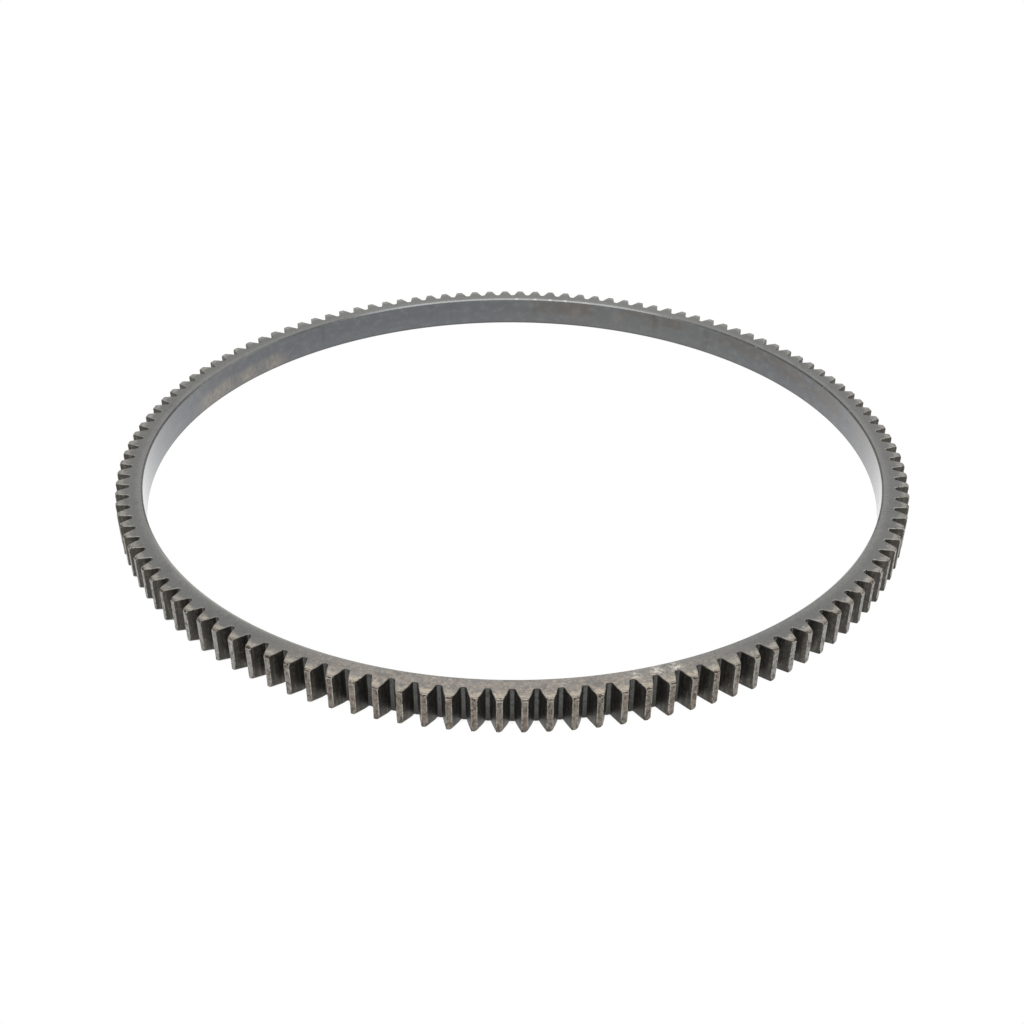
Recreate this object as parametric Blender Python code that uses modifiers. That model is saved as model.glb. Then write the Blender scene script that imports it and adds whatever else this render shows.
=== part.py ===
"""Flywheel ring gear: one turned steel ring with spur teeth cut round its outside.

The ring lies flat on its lower face, with its axis on Z and the origin at the centre of that face.
The blank is a turned section. The gaps between the teeth are cut through it from face to face, and
each tooth then gets a lead-in bevel on one flank at its lower end, where the starter pinion enters.
"""

from math import acos, atan, cos, pi, radians, sin, sqrt, tan

import bmesh
import bpy
from mathutils import Matrix, Vector

# Driving dimensions, in metres
BORE_DIAMETER = 0.3036
RIM_DEPTH = 0.0051
FACE_WIDTH = 0.0136
MODULE = 0.00254
PRESSURE_ANGLE = radians(21.5)
BACKLASH_THINNING = 0.00002
ROOT_FILLET = 0.0006
TIP_CHAMFER = 0.0007
LOWER_TIP_CHAMFER = 0.0005
BORE_CHAMFER = 0.0005
LOWER_BORE_CHAMFER = 0.0004
LEAD_IN_HEIGHT = 0.0012
LEAD_IN_RUN = 0.0047
LEAD_IN_LAND = 0.0001

# Tooth proportions, as shares of the module
ADDENDUM_SHARE = 0.95
DEDENDUM_SHARE = 1.22

# The most of a narrow gap's foot that its two fillets may take
FILLET_SHARE_OF_GAP = 0.9

# Facets
RING_STEPS_PER_TOOTH = 2
FLANK_STEPS = 2
FILLET_STEPS = 2

# How far the cutters run past what they cut
CUT_CLEARANCE = 0.0004
MERGE_DISTANCE = 0.000001

NAME = "ring_gear"
SMOOTH_LIMIT = radians(25)

BORE_RADIUS = BORE_DIAMETER / 2
ROOT_RADIUS = BORE_RADIUS + RIM_DEPTH
PITCH_RADIUS = ROOT_RADIUS + DEDENDUM_SHARE * MODULE
TIP_RADIUS = PITCH_RADIUS + ADDENDUM_SHARE * MODULE
TOOTH_COUNT = round(2 * PITCH_RADIUS / MODULE)
TOOTH_ANGLE = 2 * pi / TOOTH_COUNT
TOOTH_THICKNESS = PITCH_RADIUS * TOOTH_ANGLE / 2 - BACKLASH_THINNING
BASE_RADIUS = PITCH_RADIUS * cos(PRESSURE_ANGLE)


def clear_scene():
    for item in list(bpy.data.objects):
        bpy.data.objects.remove(item, do_unlink=True)


def make_collection(name):
    collection = bpy.data.collections.new(name)
    bpy.context.scene.collection.children.link(collection)
    return collection


def steel_material():
    material = bpy.data.materials.new("oxidised_steel")
    material.use_nodes = True
    shader = material.node_tree.nodes["Principled BSDF"]
    shader.inputs["Base Color"].default_value = (0.28, 0.26, 0.23, 1.0)
    shader.inputs["Metallic"].default_value = 0.85
    shader.inputs["Roughness"].default_value = 0.48
    return material


def involute(angle):
    return tan(angle) - angle


def tooth_half_angle(radius):
    """Half the angle that a tooth takes up at a radius, by the involute of its base circle."""
    at_pitch = TOOTH_THICKNESS / (2 * PITCH_RADIUS)
    at_radius = involute(acos(min(1.0, BASE_RADIUS / radius)))
    return at_pitch + involute(PRESSURE_ANGLE) - at_radius


def gap_point(radius):
    """A point of one flank of the gap that is centred on +X."""
    angle = TOOTH_ANGLE / 2 - tooth_half_angle(radius)
    return Vector((radius * cos(angle), radius * sin(angle)))


def root_fillet_points():
    """The round between a flank and the flat root, from the flank down to the root."""
    foot = gap_point(ROOT_RADIUS)
    above = gap_point(ROOT_RADIUS + ROOT_FILLET)
    slope = (above.y - foot.y) / (above.x - foot.x)
    lean = sqrt(1 + slope * slope)
    widest = FILLET_SHARE_OF_GAP * foot.y / (lean - slope)
    size = min(ROOT_FILLET, widest)
    centre = Vector((foot.x + size, foot.y + size * (slope - lean)))
    start = pi / 2 + atan(slope)
    sweep = (pi - start) / FILLET_STEPS
    turns = [start + sweep * step for step in range(FILLET_STEPS + 1)]
    return [centre + size * Vector((cos(turn), sin(turn))) for turn in turns]


def gap_outline():
    """The outline of one gap, open past the tips of the teeth, centred on +X."""
    fillet = root_fillet_points()
    outer = TIP_RADIUS + CUT_CLEARANCE
    inner = fillet[0].length
    step = (outer - inner) / FLANK_STEPS
    flank = [gap_point(outer - step * index) for index in range(FLANK_STEPS)]
    upper = flank + fillet
    lower = [Vector((point.x, -point.y)) for point in reversed(upper)]
    return upper + lower


def flat_outline_mesh(name, outline, thickness):
    """A flat outline given a thickness, as one closed mesh centred on its own plane."""
    curve = bpy.data.curves.new(name, "CURVE")
    curve.dimensions = "2D"
    curve.fill_mode = "BOTH"
    curve.extrude = thickness / 2
    spline = curve.splines.new("POLY")
    spline.points.add(len(outline) - 1)
    for point, place in zip(spline.points, outline):
        point.co = (place.x, place.y, 0.0, 1.0)
    spline.use_cyclic_u = True
    guide = bpy.data.objects.new(name, curve)
    bpy.context.scene.collection.objects.link(guide)
    bpy.context.view_layer.update()
    evaluated = guide.evaluated_get(bpy.context.evaluated_depsgraph_get())
    mesh = bpy.data.meshes.new_from_object(evaluated)
    bpy.data.objects.remove(guide, do_unlink=True)
    return mesh


def make_cutter(name, mesh, place, collection):
    """One cutter placed by a matrix and repeated once for every tooth."""
    shape = bmesh.new()
    shape.from_mesh(mesh)
    bmesh.ops.remove_doubles(shape, verts=shape.verts, dist=MERGE_DISTANCE)
    bmesh.ops.transform(shape, matrix=place, verts=shape.verts)
    bmesh.ops.recalc_face_normals(shape, faces=shape.faces)
    bmesh.ops.spin(
        shape,
        geom=shape.verts[:] + shape.edges[:] + shape.faces[:],
        cent=(0.0, 0.0, 0.0),
        axis=(0.0, 0.0, 1.0),
        angle=2 * pi - TOOTH_ANGLE,
        steps=TOOTH_COUNT - 1,
        use_duplicate=True,
    )
    shape.to_mesh(mesh)
    shape.free()
    cutter = bpy.data.objects.new(name, mesh)
    cutter.hide_render = True
    cutter.display_type = "WIRE"
    collection.objects.link(cutter)
    return cutter


def make_gap_cutter(collection):
    """The gaps between the teeth, each a prism that runs past both faces."""
    mesh = flat_outline_mesh("tooth_gaps", gap_outline(), FACE_WIDTH + 2 * CUT_CLEARANCE)
    place = Matrix.Rotation(TOOTH_ANGLE / 2, 4, "Z") @ Matrix.Translation((0, 0, FACE_WIDTH / 2))
    return make_cutter("tooth_gaps", mesh, place, collection)


def make_lead_in_cutter(collection):
    """The bevels at the lower ends of the teeth, each a wedge lying along a slanting line.

    The line crosses the end of the tooth that is centred on +X, from a point on its tip land to a
    point low on its far flank, and the cut rises from it to its full height at the tip.
    """
    tip_half = TIP_RADIUS * tooth_half_angle(TIP_RADIUS)
    start = Vector((TIP_RADIUS, LEAD_IN_LAND - tip_half))
    low_radius = TIP_RADIUS - LEAD_IN_RUN
    low_angle = tooth_half_angle(low_radius)
    end = Vector((low_radius * cos(low_angle), low_radius * sin(low_angle)))
    along = (end - start).normalized()
    across = Vector((along.y, -along.x))
    corner = Vector((TIP_RADIUS, tip_half))
    reach = (corner - start).dot(across)
    slope = LEAD_IN_HEIGHT / reach
    wide = reach + CUT_CLEARANCE
    deep = CUT_CLEARANCE
    section = [Vector((-deep / slope, -deep)), Vector((wide, -deep)), Vector((wide, wide * slope))]
    outer = start - along * reach
    inner = end + along * CUT_CLEARANCE
    mesh = flat_outline_mesh("lead_in_bevels", section, (inner - outer).length)
    middle = (outer + inner) / 2
    place = Matrix((
        (across.x, 0.0, along.x, middle.x),
        (across.y, 0.0, along.y, middle.y),
        (0.0, 1.0, 0.0, 0.0),
        (0.0, 0.0, 0.0, 1.0),
    ))
    return make_cutter("lead_in_bevels", mesh, place, collection)


def ring_section():
    """The turned section of the blank, down its outer side, in along its foot and up the bore."""
    return [
        (TIP_RADIUS - TIP_CHAMFER, FACE_WIDTH),
        (TIP_RADIUS, FACE_WIDTH - TIP_CHAMFER),
        (TIP_RADIUS, LOWER_TIP_CHAMFER),
        (TIP_RADIUS - LOWER_TIP_CHAMFER, 0.0),
        (BORE_RADIUS + LOWER_BORE_CHAMFER, 0.0),
        (BORE_RADIUS, LOWER_BORE_CHAMFER),
        (BORE_RADIUS, FACE_WIDTH - BORE_CHAMFER),
        (BORE_RADIUS + BORE_CHAMFER, FACE_WIDTH),
    ]


def make_ring(collection, cutters):
    """The blank, turned so that its facets meet at the middle of each tooth, less what is cut."""
    steps = RING_STEPS_PER_TOOTH * TOOTH_COUNT
    shape = bmesh.new()
    corners = [shape.verts.new((radius, 0.0, height)) for radius, height in ring_section()]
    for index, corner in enumerate(corners):
        shape.edges.new((corners[index - 1], corner))
    mesh = bpy.data.meshes.new(NAME)
    shape.to_mesh(mesh)
    shape.free()
    mesh.materials.append(steel_material())

    ring = bpy.data.objects.new(NAME, mesh)
    collection.objects.link(ring)
    turn = ring.modifiers.new("turned_section", "SCREW")
    turn.angle = 2 * pi
    turn.steps = steps
    turn.render_steps = steps
    turn.use_merge_vertices = True
    turn.merge_threshold = MERGE_DISTANCE
    for cutter in cutters:
        cut = ring.modifiers.new(cutter.name, "BOOLEAN")
        cut.operation = "DIFFERENCE"
        cut.solver = "EXACT"
        cut.object = cutter
    return ring


def shade_round(ring):
    """Bakes the cuts into the mesh, and shades its round faces smooth between its sharp edges."""
    bpy.context.view_layer.update()
    evaluated = ring.evaluated_get(bpy.context.evaluated_depsgraph_get())
    finished = bpy.data.meshes.new_from_object(evaluated)
    rough = ring.data
    ring.modifiers.clear()
    ring.data = finished
    bpy.data.meshes.remove(rough)
    finished.name = NAME
    finished.shade_smooth()
    finished.set_sharp_from_angle(angle=SMOOTH_LIMIT)


def main():
    clear_scene()
    parts = make_collection("flywheel_ring_gear")
    cutter_parts = make_collection("cutters")
    gaps = make_gap_cutter(cutter_parts)
    bevels = make_lead_in_cutter(cutter_parts)
    ring = make_ring(parts, [gaps, bevels])
    shade_round(ring)


main()
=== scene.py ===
"""Looks of a flywheel ring gear: a toothed steel ring lying on a plain pale floor.

One tooth and its share of the rim are modelled from the tooth's outline, given their chamfers, worn
edges and lead-in bevel, and then spun round into the whole ring. Each kind of surface has its own
steel finish: the oxidised faces, the dark cut flanks, the tips, the bore, its chamfers and the rubbed
edges.
"""

from math import acos, atan, cos, pi, radians, sin, sqrt, tan

import bmesh
import bpy
from bpy.props import FloatProperty, FloatVectorProperty, PointerProperty
from mathutils import Matrix, Vector


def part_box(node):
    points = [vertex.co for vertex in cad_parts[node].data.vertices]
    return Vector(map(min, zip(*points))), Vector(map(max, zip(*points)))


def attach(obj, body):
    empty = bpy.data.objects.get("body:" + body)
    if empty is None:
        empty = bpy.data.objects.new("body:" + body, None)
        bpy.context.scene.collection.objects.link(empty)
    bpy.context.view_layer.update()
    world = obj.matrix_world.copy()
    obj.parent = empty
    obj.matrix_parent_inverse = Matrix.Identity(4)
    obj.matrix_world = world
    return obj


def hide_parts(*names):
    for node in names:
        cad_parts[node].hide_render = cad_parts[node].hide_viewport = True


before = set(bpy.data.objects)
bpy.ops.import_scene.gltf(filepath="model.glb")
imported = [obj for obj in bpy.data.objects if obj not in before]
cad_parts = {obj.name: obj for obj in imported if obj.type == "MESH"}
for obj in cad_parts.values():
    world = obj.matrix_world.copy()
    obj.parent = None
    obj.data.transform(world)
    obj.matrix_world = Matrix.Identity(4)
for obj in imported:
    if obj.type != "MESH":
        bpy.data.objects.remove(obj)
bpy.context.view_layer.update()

bl_info = {
    "name": "Flywheel Ring Gear",
    "version": (1, 0, 0),
    "blender": (4, 5, 0),
    "location": "View3D > Sidebar > Ring Gear",
    "description": "Models a toothed starter ring with its worn steel finishes, and a plain studio",
    "category": "Add Mesh",
}

NODE = "ring_gear"
BODY = "root"
RING_NAME = "ring_gear_steel"

# The ring's reach and its face width come from the frame.
NODE_LOW, NODE_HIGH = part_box(NODE)
TIP_RADIUS = NODE_HIGH.x
FACE_WIDTH = NODE_HIGH.z - NODE_LOW.z

# Tooth proportions, as shares of the module
ADDENDUM_SHARE = 0.95
DEDENDUM_SHARE = 1.22
PRESSURE_ANGLE = radians(21.5)

# Facets of one tooth and its share of the rim
BORE_STEPS = 4
FLANK_STEPS = 4
FILLET_STEPS = 6
TIP_STEPS = 2
EDGE_STEPS = 2

UP = Vector((0.0, 0.0, 1.0))
MERGE_DISTANCE = 0.000002
SMALL_LENGTH = 0.00001
# How much of its normal points up or down on a flat face, outward on a tip, and across on a seam
FLAT_LIMIT = 0.9
TIP_LIMIT = 0.4
SEAM_LIMIT = 0.99999
# The least turn between two faces at an edge that is shaded sharp, and at an edge that wears
SMOOTH_LIMIT = radians(13)
RUB_LIMIT = radians(28)

# The finishes, in the order of the ring's material slots
FACE, FLANK, TIP, BORE, CHAMFER, EDGE = range(6)


def length(name, description, default):
    """A size of the ring, as a property in metres."""
    return FloatProperty(
        name=name, description=description, default=default, min=0.0, precision=5, subtype="DISTANCE"
    )


def colour(name, description, default):
    return FloatVectorProperty(
        name=name, description=description, default=default, min=0.0, max=1.0, subtype="COLOR"
    )


class RingSizes(bpy.types.PropertyGroup):
    """Sizes of the ring and its teeth."""

    module: length("Module", "Pitch diameter for each tooth", 0.00254)
    rim_depth: length("Rim depth", "Depth of solid rim under the teeth", 0.0051)
    thinning: length("Tooth thinning", "How much thinner a tooth is than half its pitch", 0.00002)
    root_fillet: length("Root fillet", "Round at the foot of each flank", 0.0006)
    tip_chamfer: length("Tip chamfer", "Chamfer of the teeth at the upper face", 0.0007)
    bore_chamfer: length("Bore chamfer", "Chamfer of the bore at the upper face", 0.00062)
    lower_bore_chamfer: length("Lower bore chamfer", "Chamfer of the bore underneath", 0.0004)
    lead_in_run: length("Lead-in run", "How far the bevel runs in from the tip", 0.0047)
    lead_in_land: length("Lead-in land", "Part of the tip that the bevel leaves", 0.00085)
    lead_in_height: length("Lead-in height", "Height of the bevel at the tip", 0.00075)
    lead_in_steep_land: length("Steep land", "Part of the tip that the steep cut leaves", 0.00125)
    lead_in_steep_height: length("Steep height", "Height of the steep cut at the tip", 0.00105)
    edge_wear: length("Edge wear", "Width that handling has rubbed off the edges", 0.00023)


class RingColours(bpy.types.PropertyGroup):
    """Colours of the ring's steel finishes and of the floor."""

    face_grey: colour("Face", "Oxide on the flat faces", (0.160, 0.160, 0.153))
    face_light: colour("Face, light", "Thinner oxide towards the bore", (0.215, 0.213, 0.204))
    face_dark: colour("Face, dark", "Darker clouds on the flat faces", (0.105, 0.103, 0.098))
    face_tan: colour("Face, tan", "Warm oxide where the faces are handled", (0.360, 0.314, 0.270))
    face_blue: colour("Face, blue", "Bluish tint among the tan", (0.215, 0.225, 0.240))
    face_pale: colour("Face, pale", "Worn oxide at the ends of the teeth", (0.335, 0.318, 0.290))
    face_buff: colour("Face, buff", "Worn oxide at the ends of the handled teeth", (0.520, 0.460, 0.365))
    scraped: colour("Scraped", "Pale scrapes and specks", (0.640, 0.610, 0.540))
    flank: colour("Flank", "Cut flanks", (0.062, 0.059, 0.053))
    flank_worn: colour("Flank, worn", "Lighter patches on the flanks", (0.130, 0.120, 0.100))
    root: colour("Root", "Greyish roots between the teeth", (0.120, 0.122, 0.118))
    tip: colour("Tip", "Tips of the teeth", (0.315, 0.315, 0.308))
    tip_brown: colour("Tip, brown", "Tips that handling has browned", (0.222, 0.196, 0.163))
    tip_red: colour("Tip, reddish", "Tips with a film of red rust", (0.228, 0.182, 0.155))
    tip_dark: colour("Tip, dark", "Darker mottling on the tips", (0.085, 0.076, 0.062))
    chamfer_brown: colour("Tip chamfer", "Browned chamfers of the teeth", (0.116, 0.090, 0.061))
    rust: colour("Rust", "Spots of old rust", (0.055, 0.036, 0.024))
    bore: colour("Bore", "Grey scale of the bore", (0.111, 0.116, 0.118))
    bore_brown: colour("Bore, brown", "Brownish bands in the bore", (0.102, 0.095, 0.086))
    bore_blue: colour("Bore, blue", "Bluish bands in the bore", (0.100, 0.108, 0.122))
    bore_stain: colour("Bore stain", "Dried stain low in the bore", (0.290, 0.252, 0.200))
    # The bore chamfers' dark colour is partly a painted dark reflection.
    chamfer: colour("Bore chamfer", "Dark turned chamfers of the bore", (0.058, 0.057, 0.054))
    edge: colour("Edge", "Edges that are little worn", (0.190, 0.178, 0.158))
    bare: colour("Bare steel", "Steel that shows on rubbed edges", (0.395, 0.378, 0.345))
    floor: colour("Floor", "The plain floor", (0.900, 0.900, 0.900))


class ToothForm:
    """The radii and outlines of one tooth, centred on +X, with its share of the rim."""

    def __init__(self, sizes):
        self.pitch_radius = TIP_RADIUS - ADDENDUM_SHARE * sizes.module
        self.root_radius = self.pitch_radius - DEDENDUM_SHARE * sizes.module
        self.bore_radius = self.root_radius - sizes.rim_depth
        self.base_radius = self.pitch_radius * cos(PRESSURE_ANGLE)
        self.count = round(2 * self.pitch_radius / sizes.module)
        self.turn = 2 * pi / self.count
        self.thickness = self.pitch_radius * self.turn / 2 - sizes.thinning
        self.fillet = sizes.root_fillet

    def half_angle(self, radius):
        """Half the angle that the tooth takes up at a radius, by the involute of its base circle."""
        at_pitch = self.thickness / (2 * self.pitch_radius)
        at_radius = acos(min(1.0, self.base_radius / radius))
        return at_pitch + tan(PRESSURE_ANGLE) - PRESSURE_ANGLE - tan(at_radius) + at_radius

    def flank_point(self, radius):
        angle = self.half_angle(radius)
        return Vector((radius * cos(angle), radius * sin(angle), 0.0))

    def fillet_points(self):
        """The round at the foot of the far flank, down to where the root begins."""
        to_gap = Matrix.Rotation(-self.turn / 2, 3, "Z")
        foot = to_gap @ self.flank_point(self.root_radius)
        above = to_gap @ self.flank_point(self.root_radius + self.fillet)
        slope = (foot.y - above.y) / (above.x - foot.x)
        lean = sqrt(1 + slope * slope)
        centre = foot + self.fillet * Vector((1.0, lean - slope, 0.0))
        start = pi / 2 + atan(slope)
        sweep = (pi - start) / FILLET_STEPS
        turns = [start + sweep * step for step in range(FILLET_STEPS + 1)]
        points = [centre + self.fillet * Vector((cos(turn), -sin(turn), 0.0)) for turn in turns]
        return [to_gap.inverted() @ point for point in points]

    def far_flank(self, fillet_top):
        """The far flank, from the tip down to the top of its fillet."""
        inner = fillet_top.length
        step = (TIP_RADIUS - inner) / FLANK_STEPS
        return [self.flank_point(TIP_RADIUS - step * index) for index in range(FLANK_STEPS)]

    def tip_middle(self):
        """Points of the tip land between its two corners."""
        half = self.half_angle(TIP_RADIUS)
        turns = [half - 2 * half * step / TIP_STEPS for step in range(1, TIP_STEPS)]
        return [Vector((TIP_RADIUS * cos(turn), TIP_RADIUS * sin(turn), 0.0)) for turn in turns]

    def seam_point(self, radius):
        return Vector((radius * cos(self.turn / 2), radius * sin(self.turn / 2), 0.0))

    def bore_points(self):
        """The bore under the tooth, from its far side to its near side."""
        step = self.turn / BORE_STEPS
        turns = [self.turn / 2 - step * index for index in range(BORE_STEPS + 1)]
        return [self.bore_radius * Vector((cos(turn), sin(turn), 0.0)) for turn in turns]


def mirrored(points):
    """The same points on the near side of the tooth, in the opposite order."""
    return [Vector((point.x, -point.y, point.z)) for point in reversed(points)]


def tooth_and_rim(form):
    """The lower faces of the tooth and of its rim, which meet at the tops of the fillets."""
    shape = bmesh.new()
    fillet = form.fillet_points()
    flank = form.far_flank(fillet[0])
    root = form.seam_point(fillet[-1].length)
    foot = fillet[1:] + [root]

    def verts(points):
        return [shape.verts.new(point) for point in points]

    near_top, far_top = verts([mirrored(fillet[:1])[0], fillet[0]])
    near_side = verts(mirrored(flank))
    tip = verts(form.tip_middle())
    far_side = verts(flank)
    tooth = [near_top] + near_side + tip[::-1] + far_side + [far_top]
    shape.faces.new(tooth)
    rim = [near_top, far_top] + verts(foot) + verts(form.bore_points()) + verts(mirrored(foot))
    shape.faces.new(rim)
    return shape


def cut_plane(shape, faces, point, normal):
    """Cuts away what lies outside a plane, and closes the cut."""
    edges = {edge for face in faces for edge in face.edges}
    verts = {vert for face in faces for vert in face.verts}
    result = bmesh.ops.bisect_plane(
        shape,
        geom=list(faces) + list(edges) + list(verts),
        dist=MERGE_DISTANCE,
        plane_co=point,
        plane_no=normal,
        clear_outer=True,
    )
    border = [item for item in result["geom_cut"] if isinstance(item, bmesh.types.BMEdge)]
    return bmesh.ops.contextual_create(shape, geom=border)["faces"]


def bevel_edges(shape, edges, width, steps):
    return bmesh.ops.bevel(
        shape,
        geom=edges,
        offset=width,
        offset_type="OFFSET",
        segments=steps,
        profile=0.5,
        affect="EDGES",
        material=-1,
        clamp_overlap=False,
    )["faces"]


def chamfer_bore(shape, form, height, width):
    """Chamfers the bore at one of the faces."""
    limit = form.bore_radius + SMALL_LENGTH
    edges = [
        edge
        for edge in shape.edges
        if all(abs(vert.co.z - height) < SMALL_LENGTH and vert.co.xy.length < limit for vert in edge.verts)
    ]
    bevel_edges(shape, edges, width, 1)


def cut_lead_in(shape, form, sizes):
    """Bevels the tooth's lower end on its far flank, along lines that slant across the end.

    Two cuts, the second one steeper, stand for a bevel that curves up to the flank.
    """
    half_tip = TIP_RADIUS * form.half_angle(TIP_RADIUS)
    corner = Vector((TIP_RADIUS, half_tip, 0.0))
    end = form.flank_point(TIP_RADIUS - sizes.lead_in_run)
    tooth_foot = form.fillet_points()[0].x
    cuts = (
        (sizes.lead_in_land, sizes.lead_in_height),
        (sizes.lead_in_steep_land, sizes.lead_in_steep_height),
    )
    for land, height in cuts:
        start = Vector((TIP_RADIUS, land - half_tip, 0.0))
        along = (end - start).normalized()
        across = Vector((along.y, -along.x, 0.0))
        slope = height / (corner - start).dot(across)
        tooth = [face for face in shape.faces if face.calc_center_median().x > tooth_foot]
        for face in cut_plane(shape, tooth, start, across * slope - UP):
            face.material_index = FLANK


def seam_faces(shape, form):
    """The two end walls of the rim's share, where the next tooth's share joins on."""
    side = Vector((-sin(form.turn / 2), cos(form.turn / 2), 0.0))
    other = Vector((side.x, -side.y, 0.0))
    return [
        face
        for face in shape.faces
        if max(abs(face.normal.dot(side)), abs(face.normal.dot(other))) > SEAM_LIMIT
        and face.calc_center_median().x < form.root_radius
    ]


def set_finishes(shape, form):
    """Gives every face of one tooth's share the finish of its region."""
    for face in shape.faces:
        centre = face.calc_center_median()
        radius = centre.xy.length
        if abs(face.normal.z) > FLAT_LIMIT:
            face.material_index = FACE
        elif radius < form.bore_radius + SMALL_LENGTH:
            face.material_index = BORE
        elif radius < form.root_radius - form.fillet:
            face.material_index = CHAMFER
        elif face.normal.x > TIP_LIMIT and radius > form.pitch_radius:
            face.material_index = TIP
        else:
            face.material_index = FLANK


def rub_edges(shape, form, seams, width):
    """Rounds the outer edges of the teeth a little, as wear does, and gives them their finish.

    The seams, the bore and the lower edges of the roots are left as they are.
    """
    kept = {edge for face in seams for edge in face.edges}
    inner = form.root_radius - form.fillet
    root = form.root_radius + SMALL_LENGTH
    edges = [
        edge
        for edge in shape.edges
        if edge not in kept
        and all(vert.co.xy.length > inner for vert in edge.verts)
        and any(vert.co.z > SMALL_LENGTH or vert.co.xy.length > root for vert in edge.verts)
        and edge.calc_face_angle_signed() > RUB_LIMIT
    ]
    for face in bevel_edges(shape, edges, width, EDGE_STEPS):
        face.material_index = EDGE


def spin_round(shape, form):
    """Repeats one tooth's share all the way round and joins the shares."""
    bmesh.ops.spin(
        shape,
        geom=shape.verts[:] + shape.edges[:] + shape.faces[:],
        cent=(0.0, 0.0, 0.0),
        axis=UP,
        angle=2 * pi - form.turn,
        steps=form.count - 1,
        use_duplicate=True,
    )
    bmesh.ops.remove_doubles(shape, verts=shape.verts, dist=MERGE_DISTANCE)
    bmesh.ops.recalc_face_normals(shape, faces=shape.faces)


def make_object(name, shape, materials):
    mesh = bpy.data.meshes.new(name)
    shape.to_mesh(mesh)
    shape.free()
    for material in materials:
        mesh.materials.append(material)
    piece = bpy.data.objects.new(name, mesh)
    bpy.context.scene.collection.objects.link(piece)
    return piece


def ring_mesh(sizes):
    """The whole ring, spun from one tooth with its share of the rim."""
    form = ToothForm(sizes)
    shape = tooth_and_rim(form)
    raised = bmesh.ops.extrude_face_region(shape, geom=shape.faces[:])["geom"]
    tops = [item for item in raised if isinstance(item, bmesh.types.BMVert)]
    bmesh.ops.translate(shape, verts=tops, vec=UP * FACE_WIDTH)
    bmesh.ops.recalc_face_normals(shape, faces=shape.faces)
    upper_foot = Vector((TIP_RADIUS, 0.0, FACE_WIDTH - sizes.tip_chamfer))
    cut_plane(shape, shape.faces[:], upper_foot, Vector((1.0, 0.0, 1.0)))
    chamfer_bore(shape, form, FACE_WIDTH, sizes.bore_chamfer)
    chamfer_bore(shape, form, 0.0, sizes.lower_bore_chamfer)
    bmesh.ops.recalc_face_normals(shape, faces=shape.faces)
    set_finishes(shape, form)
    rub_edges(shape, form, seam_faces(shape, form), sizes.edge_wear)
    cut_lead_in(shape, form, sizes)
    bmesh.ops.delete(shape, geom=seam_faces(shape, form), context="FACES_ONLY")
    spin_round(shape, form)
    return shape


# Marks of use, at their places on the ring: in metres, and in degrees from +X for the nicks
STAIN_PLACES = (
    (-0.1411, 0.0560, 0.0030),
    (-0.1357, 0.0679, 0.0040),
    (-0.1272, 0.0828, 0.0030),
    (-0.1173, 0.0963, 0.0030),
)
STAIN_REACH = 0.0125
RUST_PLACES = ((0.0327, 0.1482, 0.0073), (0.0554, 0.1413, 0.0073))
RUST_REACH = 0.0045
DOT_PLACE = (0.1489, 0.0297, 0.0082)
DOT_REACH = 0.0009
PALE_PLACES = (
    (0.0394, -0.1498, FACE_WIDTH),
    (0.0470, -0.1476, FACE_WIDTH),
    (0.0535, -0.1458, FACE_WIDTH),
)
PALE_REACH = 0.0036
NICK_RADIUS = TIP_RADIUS - 0.0103
NICK_ANGLES = (89.2, 85.6, 82.6, 79.6, 38.9, 20.5, 11.5)
NICK_REACH = 0.0012

# How rough the film of oil is that lies on the bore
COAT_ROUGHNESS = 0.14


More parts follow.
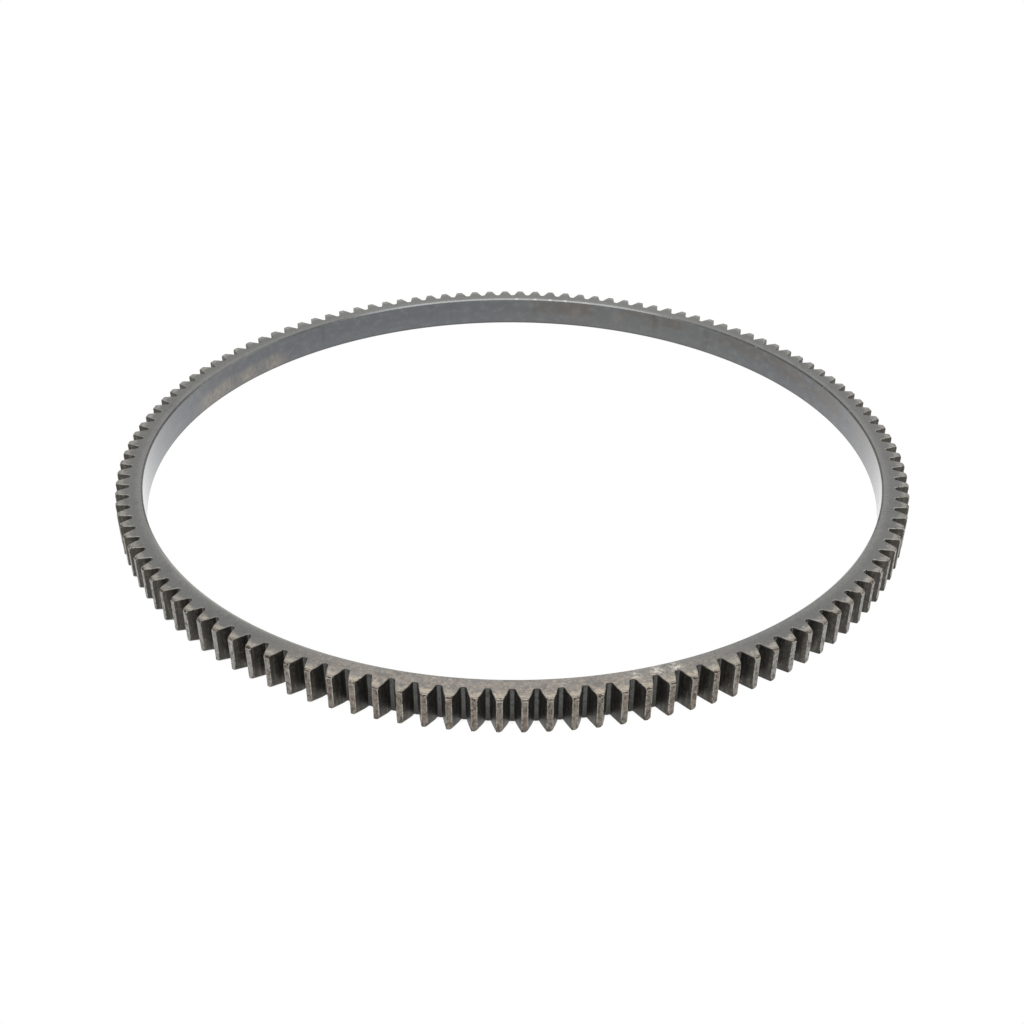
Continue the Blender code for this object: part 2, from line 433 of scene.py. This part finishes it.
class Finish:
    """A procedural steel finish, built node by node on the ring's own coordinates.

    Places, heights and depths below the tips are in metres. Noises run from 0 to 1.
    """

    def __init__(self, name):
        self.material = bpy.data.materials.new(name)
        self.material.use_nodes = True
        self.tree = self.material.node_tree
        self.shader = self.tree.nodes["Principled BSDF"]
        self.place = self.add("ShaderNodeTexCoord").outputs["Object"]
        parts = self.add("ShaderNodeSeparateXYZ")
        self.put(parts.inputs[0], self.place)
        self.across, self.along, self.height = parts.outputs
        squares = [self.times(side, side) for side in (self.across, self.along)]
        self.radius = self.math("SQRT", self.math("ADD", *squares))
        self.depth = self.math("SUBTRACT", TIP_RADIUS, self.radius)

    def add(self, kind, **settings):
        node = self.tree.nodes.new(kind)
        for name, value in settings.items():
            setattr(node, name, value)
        return node

    def put(self, socket, value):
        """Links a socket to another one, or sets its value."""
        if isinstance(value, bpy.types.NodeSocket):
            self.tree.links.new(value, socket)
        else:
            socket.default_value = value

    def math(self, operation, first, second=0.0):
        node = self.add("ShaderNodeMath", operation=operation)
        self.put(node.inputs[0], first)
        self.put(node.inputs[1], second)
        return node.outputs[0]

    def times(self, first, *others):
        """The product of two or more values."""
        product = first
        for other in others:
            product = self.math("MULTIPLY", product, other)
        return product

    def noise(self, scale, detail, roughness, place=None):
        node = self.add("ShaderNodeTexNoise")
        self.put(node.inputs["Vector"], place or self.place)
        self.put(node.inputs["Scale"], scale)
        self.put(node.inputs["Detail"], detail)
        self.put(node.inputs["Roughness"], roughness)
        return node.outputs["Fac"]

    def rolled_noise(self, around, outward, upward, detail, roughness):
        """Noise with a scale of its own along the rim, outward and up, so that it can be streaked."""
        angle = self.math("ARCTAN2", self.along, self.across)
        rolled_out = self.add("ShaderNodeCombineXYZ")
        self.put(rolled_out.inputs[0], self.times(angle, around * TIP_RADIUS))
        self.put(rolled_out.inputs[1], self.times(self.radius, outward))
        self.put(rolled_out.inputs[2], self.times(self.height, upward))
        return self.noise(1.0, detail, roughness, rolled_out.outputs[0])

    def spread(self, value, none_at, full_at):
        """0 up to one level of a value, 1 past another, and smooth between them, either way round."""
        node = self.add("ShaderNodeMapRange", interpolation_type="SMOOTHSTEP", clamp=True)
        self.put(node.inputs["Value"], value)
        self.put(node.inputs["From Min"], none_at)
        self.put(node.inputs["From Max"], full_at)
        return node.outputs["Result"]

    def scaled(self, value, at_zero, at_one):
        """Spreads a value that runs from 0 to 1 over another range."""
        node = self.add("ShaderNodeMapRange")
        self.put(node.inputs["Value"], value)
        self.put(node.inputs["To Min"], at_zero)
        self.put(node.inputs["To Max"], at_one)
        return node.outputs["Result"]

    def larger(self, first, second):
        return self.math("MAXIMUM", first, second)

    def blend(self, share, first, second, strength=1.0):
        """Mixes two colours, the second one by its share and strength."""
        node = self.add("ShaderNodeMix", data_type="RGBA")
        self.put(node.inputs[0], self.times(share, strength))
        for socket, value in ((node.inputs[6], first), (node.inputs[7], second)):
            self.put(socket, value if isinstance(value, bpy.types.NodeSocket) else (*value, 1.0))
        return node.outputs[2]

    def near(self, places, reach):
        """1 at each of some places on the ring, falling to 0 at their reach."""
        total = 0.0
        for place in places:
            distance = self.add("ShaderNodeVectorMath", operation="DISTANCE")
            self.put(distance.inputs[0], self.place)
            self.put(distance.inputs[1], place)
            here = self.spread(distance.outputs["Value"], none_at=reach, full_at=0.0)
            total = self.math("ADD", here, total)
        return total

    def front(self):
        """1 on the part of the ring that has been handled most, falling to 0 on both sides. The rubbed
        edges also take it for painted shade at the front.
        """
        return self.spread(self.along, none_at=-0.128, full_at=-0.154)

    def finish(self, colour, roughness, metallic, relief, relief_depth, coat=0.0):
        self.put(self.shader.inputs["Base Color"], colour)
        self.put(self.shader.inputs["Roughness"], roughness)
        self.shader.inputs["Metallic"].default_value = metallic
        self.shader.inputs["Coat Weight"].default_value = coat
        self.shader.inputs["Coat Roughness"].default_value = COAT_ROUGHNESS
        bump = self.add("ShaderNodeBump")
        self.put(bump.inputs["Height"], relief)
        self.put(bump.inputs["Distance"], relief_depth)
        self.put(self.shader.inputs["Normal"], bump.outputs[0])
        return self.material


def face_finish(colours):
    """Oxide on the flat faces: a dark belt under the teeth, warm and pale where they are handled."""
    steel = Finish("oxidised_faces")
    clouds = steel.noise(scale=70.0, detail=4.0, roughness=0.55)
    blotches = steel.noise(scale=420.0, detail=4.0, roughness=0.60)
    mottle = steel.noise(scale=850.0, detail=4.0, roughness=0.65)
    grain = steel.noise(scale=2100.0, detail=4.0, roughness=0.60)
    streaks = steel.rolled_noise(around=480.0, outward=1500.0, upward=0.0, detail=3.0, roughness=0.50)
    front = steel.front()
    wander = steel.scaled(mottle, at_zero=-0.0025, at_one=0.0025)
    wavy_depth = steel.math("SUBTRACT", steel.depth, wander)

    # Lighter towards the bore and at the back
    inside = steel.spread(wavy_depth, none_at=0.0068, full_at=0.0096)
    tone = steel.blend(inside, colours.face_grey, colours.face_light)
    back = steel.spread(steel.along, none_at=0.09, full_at=0.15)
    tone = steel.blend(back, tone, colours.face_light, strength=0.5)

    # Warm, with a bluish tint and turned streaks, on the handled front
    outside = steel.spread(wavy_depth, none_at=0.0104, full_at=0.0074)
    warm = steel.times(front, steel.scaled(outside, at_zero=0.6, at_one=1.0))
    rubbed = steel.spread(mottle, none_at=0.30, full_at=0.66)
    handling_and_shade = steel.times(warm, steel.scaled(rubbed, at_zero=0.3, at_one=1.0))
    tone = steel.blend(handling_and_shade, tone, colours.face_tan)
    tinted = steel.times(front, steel.spread(blotches, none_at=0.46, full_at=0.70))
    tone = steel.blend(tinted, tone, colours.face_blue, strength=0.5)
    scored = steel.times(front, steel.spread(streaks, none_at=0.56, full_at=0.70))
    tone = steel.blend(scored, tone, colours.scraped, strength=0.45)

    # Pale ends of the teeth, buff on the front and beside it
    ends = steel.times(
        steel.spread(wavy_depth, none_at=0.0040, full_at=0.0020),
        steel.scaled(mottle, at_zero=0.45, at_one=1.15),
        steel.spread(steel.depth, none_at=0.0006, full_at=0.0017),
    )
    beside = steel.spread(steel.along, none_at=-0.06, full_at=-0.12)
    buff = steel.larger(front, steel.scaled(beside, at_zero=0.0, at_one=0.45))
    tone = steel.blend(ends, tone, steel.blend(buff, colours.face_pale, colours.face_buff))

    # Darker clouds and grain
    cloudy = steel.spread(clouds, none_at=0.48, full_at=0.68)
    blotched = steel.spread(blotches, none_at=0.42, full_at=0.60)
    tone = steel.blend(steel.times(cloudy, blotched), tone, colours.face_dark, strength=0.45)
    speckled = steel.spread(grain, none_at=0.44, full_at=0.66)
    tone = steel.blend(speckled, tone, colours.face_dark, strength=0.40)

    # Scrapes, and a light line along the rim on the front left
    scraped = steel.spread(mottle, none_at=0.42, full_at=0.60)
    pale = steel.times(steel.near(PALE_PLACES, PALE_REACH), scraped)
    tone = steel.blend(pale, tone, colours.scraped)
    line = steel.times(
        steel.spread(steel.across, none_at=-0.03, full_at=-0.07),
        steel.spread(steel.along, none_at=-0.06, full_at=-0.09),
        steel.spread(steel.depth, none_at=0.0091, full_at=0.0098),
        steel.scaled(mottle, at_zero=0.2, at_one=1.2),
    )
    tone = steel.blend(line, tone, colours.face_pale)
    rough = steel.scaled(mottle, at_zero=0.34, at_one=0.54)
    return steel.finish(tone, rough, metallic=0.85, relief=grain, relief_depth=0.00004)


def flank_finish(colours):
    """Dark cut flanks with lighter patches, and greyish roots with painted shade that darkens them towards
    the floor.
    """
    steel = Finish("cut_flanks")
    streaks = steel.rolled_noise(around=1500.0, outward=900.0, upward=90.0, detail=3.0, roughness=0.50)
    patches = steel.noise(scale=750.0, detail=5.0, roughness=0.65)

    worn = steel.spread(steel.math("ADD", streaks, patches), none_at=0.92, full_at=1.25)
    tone = steel.blend(worn, colours.flank, colours.flank_worn)
    stained = steel.spread(patches, none_at=0.45, full_at=0.70)
    ground = steel.blend(stained, colours.root, colours.flank)
    # Painted shade: the roots turn to the dark flank colour towards the floor, where the gap between the
    # teeth is shaded.
    low = steel.spread(steel.height, none_at=0.0085, full_at=0.0005)
    ground = steel.blend(low, ground, colours.flank)
    root = steel.spread(steel.depth, none_at=0.0047, full_at=0.0052)
    tone = steel.blend(root, tone, ground)
    rough = steel.scaled(patches, at_zero=0.34, at_one=0.52)
    return steel.finish(tone, rough, metallic=0.9, relief=patches, relief_depth=0.00004)


def tip_finish(colours):
    """Mottled tips of the teeth, browned where they are handled, with old rust on their chamfers."""
    steel = Finish("tooth_tips")
    blotches = steel.rolled_noise(around=1000.0, outward=1000.0, upward=620.0, detail=4.0, roughness=0.62)
    spots = steel.noise(scale=820.0, detail=4.0, roughness=0.60)
    teeth = steel.noise(scale=120.0, detail=2.0, roughness=0.55)

    reddish = steel.spread(teeth, none_at=0.50, full_at=0.60)
    browned = steel.blend(reddish, colours.tip_brown, colours.tip_red)
    tone = steel.blend(steel.front(), colours.tip, browned)
    dark = steel.spread(blotches, none_at=0.44, full_at=0.66)
    tone = steel.blend(dark, tone, colours.tip_dark)
    scuffed = steel.spread(blotches, none_at=0.40, full_at=0.26)
    tone = steel.blend(scuffed, tone, colours.scraped, strength=0.45)
    chamfer = steel.spread(steel.height, none_at=FACE_WIDTH - 0.0010, full_at=FACE_WIDTH - 0.0006)
    tone = steel.blend(chamfer, tone, colours.chamfer_brown, strength=0.80)

    # Rust sets in sooner on the chamfers, and on some teeth more than on others
    rust = steel.math("ADD", spots, steel.scaled(teeth, at_zero=-0.125, at_one=0.125))
    onset = steel.scaled(chamfer, at_zero=0.64, at_one=0.47)
    rusted = steel.spread(steel.math("SUBTRACT", rust, onset), none_at=0.0, full_at=0.05)
    tone = steel.blend(rusted, tone, colours.rust, strength=0.9)
    rough = steel.scaled(spots, at_zero=0.30, at_one=0.52)
    return steel.finish(tone, rough, metallic=0.9, relief=blotches, relief_depth=0.00006)


def bore_finish(colours):
    """Smooth grey scale in the bore under a film of oil, bluish in parts, with a few marks, a painted
    reflection of the floor low down and painted shadow along the lower edge.
    """
    steel = Finish("turned_bore")
    bands = steel.rolled_noise(around=38.0, outward=0.0, upward=90.0, detail=3.0, roughness=0.50)
    bars = steel.rolled_noise(around=130.0, outward=0.0, upward=20.0, detail=2.0, roughness=0.50)
    clouds = steel.rolled_noise(around=190.0, outward=0.0, upward=330.0, detail=5.0, roughness=0.62)
    turned = steel.rolled_noise(around=50.0, outward=0.0, upward=2400.0, detail=2.0, roughness=0.50)
    specks = steel.noise(scale=520.0, detail=5.0, roughness=0.72)

    # Bluish on the left and far right, with brown bands high on the right
    left = steel.spread(steel.across, none_at=0.03, full_at=-0.03)
    far_right = steel.spread(steel.across, none_at=0.10, full_at=0.13)
    tone = steel.blend(steel.larger(left, far_right), colours.bore, colours.bore_blue)
    high = steel.spread(steel.height, none_at=0.0035, full_at=0.0095)
    right = steel.spread(steel.across, none_at=-0.015, full_at=0.015)
    brown = steel.times(
        steel.spread(bands, none_at=0.36, full_at=0.58),
        steel.scaled(high, at_zero=0.15, at_one=1.0),
        steel.scaled(right, at_zero=0.2, at_one=1.0),
    )
    tone = steel.blend(brown, tone, colours.bore_brown)
    barred = steel.spread(bars, none_at=0.54, full_at=0.74)
    tone = steel.blend(barred, tone, colours.flank, strength=0.40)
    hazy = steel.spread(clouds, none_at=0.45, full_at=0.70)
    tone = steel.blend(hazy, tone, colours.face_light, strength=0.32)
    # Painted reflection: lighter low in the bore, where it mirrors the white floor.
    low = steel.spread(steel.height, none_at=0.0080, full_at=0.0020)
    tone = steel.blend(low, tone, colours.face_light, strength=0.12)

    # A dried stain, two rusty spots, a dark dot, and painted contact shadow along the lower edge
    stain = steel.times(
        steel.near(STAIN_PLACES, STAIN_REACH),
        steel.spread(specks, none_at=0.22, full_at=0.74),
        steel.spread(steel.height, none_at=0.0095, full_at=0.0055),
    )
    tone = steel.blend(stain, tone, colours.bore_stain, strength=0.85)
    tone = steel.blend(steel.near(RUST_PLACES, RUST_REACH), tone, colours.tip_red, strength=0.30)
    tone = steel.blend(steel.near([DOT_PLACE], DOT_REACH), tone, colours.rust)
    # Painted shadow: the bore turns to the dark flank colour along its lower edge, where it meets the
    # floor.
    painted_contact_shadow = steel.spread(steel.height, none_at=0.0011, full_at=0.0004)
    tone = steel.blend(painted_contact_shadow, tone, colours.flank)
    rough = steel.scaled(clouds, at_zero=0.18, at_one=0.30)
    return steel.finish(tone, rough, metallic=0.95, relief=turned, relief_depth=0.00001, coat=1.0)


def chamfer_finish(colours):
    """Dark smooth chamfers of the bore, their darkness partly a painted dark reflection, paler at the back
    as a painted highlight, nicked bright in a few places.
    """
    steel = Finish("bore_chamfers")
    clouds = steel.noise(scale=350.0, detail=4.0, roughness=0.55)
    turns = [radians(angle) for angle in NICK_ANGLES]
    nicks = [(NICK_RADIUS * cos(turn), NICK_RADIUS * sin(turn), FACE_WIDTH) for turn in turns]

    cloudy = steel.spread(clouds, none_at=0.40, full_at=0.85)
    tone = steel.blend(cloudy, colours.chamfer, colours.bore)
    # Painted highlight: the chamfer is paler at the back, where it mirrors the light above the front.
    back = steel.spread(steel.along, none_at=0.03, full_at=0.10)
    tone = steel.blend(back, tone, colours.bore, strength=0.45)
    tone = steel.blend(steel.near(nicks, NICK_REACH), tone, colours.scraped, strength=0.18)
    rough = steel.scaled(clouds, at_zero=0.22, at_one=0.32)
    return steel.finish(tone, rough, metallic=0.95, relief=clouds, relief_depth=0.00001, coat=0.4)


def edge_finish(colours):
    """Edges rubbed bare in patches, barer at the sides partly as a painted highlight, duller underneath,
    with painted shade low down and at the roots on the front, and spots of old rust.
    """
    steel = Finish("rubbed_edges")
    patches = steel.noise(scale=520.0, detail=4.0, roughness=0.62)
    spots = steel.noise(scale=820.0, detail=4.0, roughness=0.60)

    # The upright edges are barest, and beside the front and back the upper ones are too, partly as wear
    # and partly as a painted highlight
    upright = steel.times(
        steel.spread(steel.height, none_at=0.0, full_at=0.004),
        steel.spread(steel.height, none_at=FACE_WIDTH, full_at=FACE_WIDTH - 0.0008),
    )
    sides = steel.spread(steel.math("ABSOLUTE", steel.along), none_at=0.125, full_at=0.085)
    bare = steel.larger(
        steel.scaled(upright, at_zero=0.18, at_one=1.0),
        steel.scaled(sides, at_zero=0.0, at_one=0.85),
    )
    rubbed = steel.times(steel.spread(patches, none_at=0.30, full_at=0.66), bare)
    tone = steel.blend(rubbed, colours.edge, colours.bare)
    # Painted shade: the edges around the roots on the front, and the edges near the floor, turn to the
    # dark flank colour.
    handling_and_shade = steel.times(steel.front(), steel.spread(steel.depth, none_at=0.0032, full_at=0.0044))
    underneath = steel.spread(steel.height, none_at=0.0020, full_at=0.0008)
    tone = steel.blend(steel.larger(handling_and_shade, underneath), tone, colours.flank)

    # Rust sets in sooner on the tips' corners
    corners = steel.times(
        steel.spread(steel.depth, none_at=0.0014, full_at=0.0007),
        steel.spread(upright, none_at=0.9, full_at=0.2),
    )
    rust = steel.math("ADD", spots, steel.scaled(corners, at_zero=0.0, at_one=0.06))
    tone = steel.blend(steel.spread(rust, none_at=0.56, full_at=0.62), tone, colours.rust, strength=0.85)
    rough = steel.scaled(patches, at_zero=0.48, at_one=0.34)
    return steel.finish(tone, rough, metallic=0.95, relief=patches, relief_depth=0.00002)


class RINGGEAR_OT_ring(bpy.types.Operator):
    """Model the toothed ring and give it its steel finishes"""

    bl_idname = "ringgear.ring"
    bl_label = "Make Ring Gear"

    def execute(self, context):
        shape = ring_mesh(context.scene.ring_sizes)
        colours = context.scene.ring_colours
        makers = (face_finish, flank_finish, tip_finish, bore_finish, chamfer_finish, edge_finish)
        ring = make_object(RING_NAME, shape, [maker(colours) for maker in makers])
        ring.data.shade_smooth()
        ring.data.set_sharp_from_angle(angle=SMOOTH_LIMIT)
        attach(ring, BODY)
        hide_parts(NODE)
        return {"FINISHED"}


# The stage, in metres, and the levels of its light, where 1 is white
FLOOR_RADIUS = 6.0
FLOOR_SIDES = 96
SKY_LEVEL = 0.78
# How open to the sky the floor is where its shadow is darkest, and where it ends
SHADOW_REACH = 0.02
SHADOW_SAMPLES = 16
SHADOW_DARK = 0.04
SHADOW_GONE = 0.15
# The softbox is wide, and hangs almost over the ring.
SOFTBOX_PLACE = Vector((0.0, -0.62, 1.97))
SOFTBOX_WIDTH = 2.6
SOFTBOX_DEPTH = 0.8
SOFTBOX_POWER = 30.0
SIDE_PLACE = Vector((1.7, 0.9, 1.3))
SIDE_SIZE = 1.2
SIDE_POWER = 5.0

# The photograph's camera. Its frame is square, and the sensor is as wide as Blender's own.
PHOTO_PIXELS = 1024
SENSOR_WIDTH = 36.0
FOCAL_PIXELS = 1267.0
CENTRE_PIXEL = (512.32, 471.12)
CAMERA_ELEVATION = radians(31.104)
CAMERA_AZIMUTH = radians(-0.094)
CAMERA_DISTANCE = 0.5429
CAMERA_ROLL = -0.00412
CLIP_START = 0.01
CLIP_END = 50.0


def bright_rays(tree):
    """1 for the rays that see the background: from the camera, and off metal or through glass."""
    path = tree.nodes.new("ShaderNodeLightPath")
    share = path.outputs["Is Camera Ray"]
    for name in ("Is Glossy Ray", "Is Transmission Ray"):
        larger = tree.nodes.new("ShaderNodeMath")
        larger.operation = "MAXIMUM"
        tree.links.new(share, larger.inputs[0])
        tree.links.new(path.outputs[name], larger.inputs[1])
        share = larger.outputs[0]
    return share


def floor_material(tone):
    """A matt floor that the camera and the metal see as white, all but its closest shadow."""
    material = bpy.data.materials.new("plain_floor")
    material.use_nodes = True
    tree = material.node_tree
    shader = tree.nodes["Principled BSDF"]
    shader.inputs["Base Color"].default_value = (*tone, 1.0)
    shader.inputs["Roughness"].default_value = 1.0
    shader.inputs["Specular IOR Level"].default_value = 0.0
    openness = tree.nodes.new("ShaderNodeAmbientOcclusion")
    openness.inputs["Distance"].default_value = SHADOW_REACH
    openness.samples = SHADOW_SAMPLES
    clear = tree.nodes.new("ShaderNodeMapRange")
    clear.inputs["From Min"].default_value = SHADOW_DARK
    clear.inputs["From Max"].default_value = SHADOW_GONE
    tree.links.new(openness.outputs["AO"], clear.inputs["Value"])
    seen = tree.nodes.new("ShaderNodeEmission")
    tree.links.new(clear.outputs["Result"], seen.inputs["Strength"])
    both = tree.nodes.new("ShaderNodeMixShader")
    tree.links.new(bright_rays(tree), both.inputs[0])
    tree.links.new(shader.outputs[0], both.inputs[1])
    tree.links.new(seen.outputs[0], both.inputs[2])
    tree.links.new(both.outputs[0], tree.nodes["Material Output"].inputs["Surface"])
    return material


def make_floor(tone):
    shape = bmesh.new()
    bmesh.ops.create_circle(shape, cap_ends=True, segments=FLOOR_SIDES, radius=FLOOR_RADIUS)
    floor = make_object("floor", shape, [floor_material(tone)])


def make_world():
    """Soft light from all round: white to the camera and to metal, a plain level on the ring."""
    world = bpy.data.worlds.new("studio")
    world.use_nodes = True
    tree = world.node_tree
    background = tree.nodes["Background"]
    background.inputs["Color"].default_value = (1.0, 1.0, 1.0, 1.0)
    level = tree.nodes.new("ShaderNodeMapRange")
    tree.links.new(bright_rays(tree), level.inputs["Value"])
    level.inputs["To Min"].default_value = SKY_LEVEL
    level.inputs["To Max"].default_value = 1.0
    tree.links.new(level.outputs[0], background.inputs["Strength"])
    bpy.context.scene.world = world


def make_softbox(name, place, width, depth, power):
    """An oblong lamp that faces the ring."""
    light = bpy.data.lights.new(name, "AREA")
    light.shape = "RECTANGLE"
    light.size = width
    light.size_y = depth
    light.energy = power
    lamp = bpy.data.objects.new(name, light)
    lamp.location = place
    lamp.rotation_euler = (-place).to_track_quat("-Z", "Y").to_euler()
    bpy.context.scene.collection.objects.link(lamp)


def make_camera():
    """The photograph's camera, turned so that the ring's centre falls where the photograph has it."""
    back = Vector((0.0, -cos(CAMERA_ELEVATION), sin(CAMERA_ELEVATION)))
    facing = (-back).to_track_quat("-Z", "Y").to_matrix()
    aside = (CENTRE_PIXEL[0] - PHOTO_PIXELS / 2) / FOCAL_PIXELS
    above = (PHOTO_PIXELS / 2 - CENTRE_PIXEL[1]) / FOCAL_PIXELS
    ahead = Vector((0.0, 0.0, -1.0))
    turn = ahead.rotation_difference(Vector((aside, above, -1.0))).to_matrix()
    roll = Matrix.Rotation(CAMERA_ROLL, 3, "Z")
    place = (facing @ roll.transposed() @ turn.transposed()).to_4x4()
    place.translation = back * CAMERA_DISTANCE
    place = Matrix.Rotation(CAMERA_AZIMUTH, 4, "Z") @ place

    data = bpy.data.cameras.new("photo_camera")
    data.sensor_width = SENSOR_WIDTH
    data.lens = FOCAL_PIXELS * SENSOR_WIDTH / PHOTO_PIXELS
    data.clip_start = CLIP_START
    data.clip_end = CLIP_END
    camera = bpy.data.objects.new("photo_camera", data)
    camera.matrix_world = place
    bpy.context.scene.collection.objects.link(camera)
    bpy.context.scene.camera = camera


class RINGGEAR_OT_stage(bpy.types.Operator):
    """Make the plain floor, the soft light and the camera"""

    bl_idname = "ringgear.stage"
    bl_label = "Make Stage"

    def execute(self, context):
        make_floor(context.scene.ring_colours.floor)
        make_world()
        make_softbox("softbox", SOFTBOX_PLACE, SOFTBOX_WIDTH, SOFTBOX_DEPTH, SOFTBOX_POWER)
        make_softbox("side_softbox", SIDE_PLACE, SIDE_SIZE, SIDE_SIZE, SIDE_POWER)
        make_camera()
        context.scene.view_settings.view_transform = "Standard"
        return {"FINISHED"}


class RINGGEAR_PT_panel(bpy.types.Panel):
    """The ring's operators and settings"""

    bl_idname = "RINGGEAR_PT_panel"
    bl_label = "Ring Gear"
    bl_space_type = "VIEW_3D"
    bl_region_type = "UI"
    bl_category = "Ring Gear"

    def draw(self, context):
        layout = self.layout
        layout.operator(RINGGEAR_OT_ring.bl_idname)
        layout.operator(RINGGEAR_OT_stage.bl_idname)
        for group in (context.scene.ring_sizes, context.scene.ring_colours):
            for name in group.__annotations__:
                layout.prop(group, name)


CLASSES = (RingSizes, RingColours, RINGGEAR_OT_ring, RINGGEAR_OT_stage, RINGGEAR_PT_panel)


def register():
    for item in CLASSES:
        bpy.utils.register_class(item)
    bpy.types.Scene.ring_sizes = PointerProperty(type=RingSizes)
    bpy.types.Scene.ring_colours = PointerProperty(type=RingColours)


def unregister():
    del bpy.types.Scene.ring_colours
    del bpy.types.Scene.ring_sizes
    for item in reversed(CLASSES):
        bpy.utils.unregister_class(item)


def main():
    register()
    bpy.ops.ringgear.ring()
    bpy.ops.ringgear.stage()


if __name__ == "__main__":
    main()
